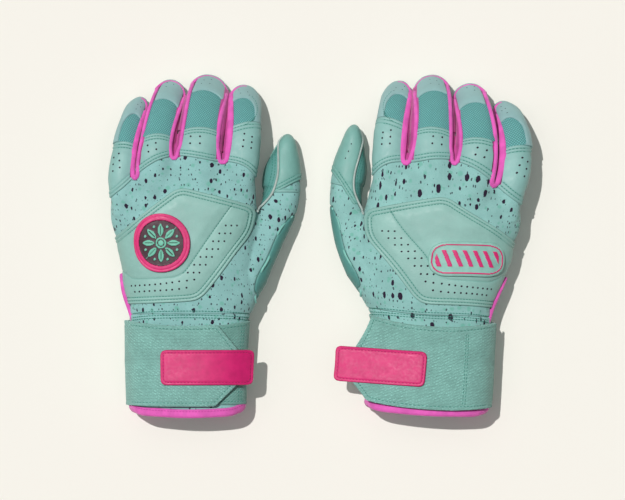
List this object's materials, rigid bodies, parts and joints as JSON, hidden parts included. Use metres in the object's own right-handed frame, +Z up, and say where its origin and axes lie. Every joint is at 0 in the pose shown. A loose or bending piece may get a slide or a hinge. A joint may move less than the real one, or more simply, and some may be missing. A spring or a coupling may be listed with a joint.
{
  "type": "batting gloves",
  "caption": "Left and right batting gloves with leather palms, stretch backs, quilted finger inserts, a stitched back shield with an emblem, and wrist straps with pull tabs.",
  "frame": {"origin": "centre of the pair's outline, on the table that it lies on", "axes": "+X from the left glove to the right glove, +Y towards the fingertips, +Z up from the table"},
  "size_m": [0.275, 0.2352, 0.0482],
  "materials": {
    "leather": "soft pebbled leather",
    "palm_leather": "smooth leather",
    "speckled_stretch": "printed stretch knit",
    "quilted_mesh": "quilted stretch mesh",
    "pink_binding": "folded stretch binding",
    "rubber": "matte moulded rubber",
    "elastic": "woven elastic",
    "hook_and_loop": "hook and loop tape"
  },
  "bodies": {
    "hands": {"left_cuff_sleeve": "speckled_stretch", "left_palm_panel": "palm_leather", "left_back_panel": "speckled_stretch", "left_knuckle_yoke": "leather", "left_pinky_ring_gusset": "pink_binding", "left_ring_middle_gusset": "pink_binding", "left_middle_index_gusset": "pink_binding", "left_vent_binding": "pink_binding", "left_back_shield": "leather", "left_badge": "rubber", "left_cuff_binding": "pink_binding", "left_strap_base": "elastic", "left_loop_pad": "hook_and_loop", "right_cuff_sleeve": "speckled_stretch", "right_palm_panel": "palm_leather", "right_back_panel": "speckled_stretch", "right_knuckle_yoke": "leather", "right_pinky_ring_gusset": "pink_binding", "right_ring_middle_gusset": "pink_binding", "right_middle_index_gusset": "pink_binding", "right_vent_binding": "pink_binding", "right_back_shield": "leather", "right_patch": "rubber", "right_cuff_binding": "pink_binding", "right_strap_base": "elastic", "right_loop_pad": "hook_and_loop"},
    "left_pinky": {"left_pinky_front": "palm_leather", "left_pinky_mesh": "quilted_mesh", "left_pinky_tip": "leather"},
    "left_ring": {"left_ring_front": "palm_leather", "left_ring_mesh": "quilted_mesh", "left_ring_tip": "leather"},
    "left_middle": {"left_middle_front": "palm_leather", "left_middle_mesh": "quilted_mesh", "left_middle_tip": "leather"},
    "left_index": {"left_index_front": "palm_leather", "left_index_mesh": "quilted_mesh", "left_index_tip": "leather"},
    "left_thumb": {"left_thumb_back": "leather", "left_thumb_front": "palm_leather"},
    "left_strap": {"left_strap_flap": "elastic", "left_pull_tab": "rubber", "left_hook_pad": "hook_and_loop"},
    "right_pinky": {"right_pinky_front": "palm_leather", "right_pinky_mesh": "quilted_mesh", "right_pinky_tip": "leather"},
    "right_ring": {"right_ring_front": "palm_leather", "right_ring_mesh": "quilted_mesh", "right_ring_tip": "leather"},
    "right_middle": {"right_middle_front": "palm_leather", "right_middle_mesh": "quilted_mesh", "right_middle_tip": "leather"},
    "right_index": {"right_index_front": "palm_leather", "right_index_mesh": "quilted_mesh", "right_index_tip": "leather"},
    "right_thumb": {"right_thumb_back": "leather", "right_thumb_front": "palm_leather"},
    "right_strap": {"right_strap_flap": "elastic", "right_pull_tab": "rubber", "right_hook_pad": "hook_and_loop"}
  },
  "joints": [
    {"name": "left_pinky_flex", "type": "hinge", "parent": "hands", "child": "left_pinky", "pos_m": [-0.12711, 0.06933, 0.02389], "axis": [-0.9703, 0.2419, 0], "range_deg": [-35, 50], "stiffness_Nm_per_rad": 0.03, "deforming": ["left_pinky_mesh", "left_pinky_tip", "left_pinky_ring_gusset"]},
    {"name": "left_ring_flex", "type": "hinge", "parent": "hands", "child": "left_ring", "pos_m": [-0.10521, 0.07523, 0.02756], "axis": [-0.9777, 0.2101, 0], "range_deg": [-35, 50], "stiffness_Nm_per_rad": 0.03, "deforming": ["left_ring_mesh", "left_ring_middle_gusset"]},
    {"name": "left_middle_flex", "type": "hinge", "parent": "hands", "child": "left_middle", "pos_m": [-0.07789, 0.07998, 0.02572], "axis": [-0.9858, 0.168, 0], "range_deg": [-35, 50], "stiffness_Nm_per_rad": 0.03, "deforming": ["left_middle_mesh", "left_middle_index_gusset"]},
    {"name": "left_index_flex", "type": "hinge", "parent": "hands", "child": "left_index", "pos_m": [-0.05055, 0.08058, 0.02093], "axis": [-0.9973, 0.0735, 0], "range_deg": [-35, 50], "stiffness_Nm_per_rad": 0.03, "deforming": ["left_index_mesh", "left_index_tip"]},
    {"name": "left_thumb_flex", "type": "hinge", "parent": "hands", "child": "left_thumb", "pos_m": [-0.03184, 0.03526, 0.00552], "axis": [-0.6988, 0.1842, 0.6912], "range_deg": [0, 40], "stiffness_Nm_per_rad": 0.03},
    {"name": "left_strap_peel", "type": "hinge", "parent": "hands", "child": "left_strap", "pos_m": [-0.12885, -0.07958, 0.02612], "axis": [0, -1, 0], "range_deg": [0, 110]},
    {"name": "right_pinky_flex", "type": "hinge", "parent": "hands", "child": "right_pinky", "pos_m": [0.12638, 0.06748, 0.02389], "axis": [-0.9848, -0.1736, 0], "range_deg": [-35, 50], "stiffness_Nm_per_rad": 0.03, "deforming": ["right_pinky_mesh", "right_pinky_tip", "right_pinky_ring_gusset"]},
    {"name": "right_ring_flex", "type": "hinge", "parent": "hands", "child": "right_ring", "pos_m": [0.10494, 0.0749, 0.02756], "axis": [-0.99, -0.1413, 0], "range_deg": [-35, 50], "stiffness_Nm_per_rad": 0.03, "deforming": ["right_ring_mesh", "right_ring_middle_gusset"]},
    {"name": "right_middle_flex", "type": "hinge", "parent": "hands", "child": "right_middle", "pos_m": [0.07802, 0.08154, 0.02572], "axis": [-0.9951, -0.0988, 0], "range_deg": [-35, 50], "stiffness_Nm_per_rad": 0.03, "deforming": ["right_middle_mesh", "right_middle_index_gusset"]},
    {"name": "right_index_flex", "type": "hinge", "parent": "hands", "child": "right_index", "pos_m": [0.05079, 0.08404, 0.02093], "axis": [-1, -0.0037, 0], "range_deg": [-35, 50], "stiffness_Nm_per_rad": 0.03, "deforming": ["right_index_mesh", "right_index_tip"]},
    {"name": "right_thumb_flex", "type": "hinge", "parent": "hands", "child": "right_thumb", "pos_m": [0.02897, 0.04014, 0.00552], "axis": [-0.7099, -0.135, -0.6912], "range_deg": [0, 40], "stiffness_Nm_per_rad": 0.03},
    {"name": "right_strap_peel", "type": "hinge", "parent": "hands", "child": "right_strap", "pos_m": [0.11772, -0.08119, 0.02612], "axis": [0.0698, 0.9976, 0], "range_deg": [0, 110]}
  ]
}
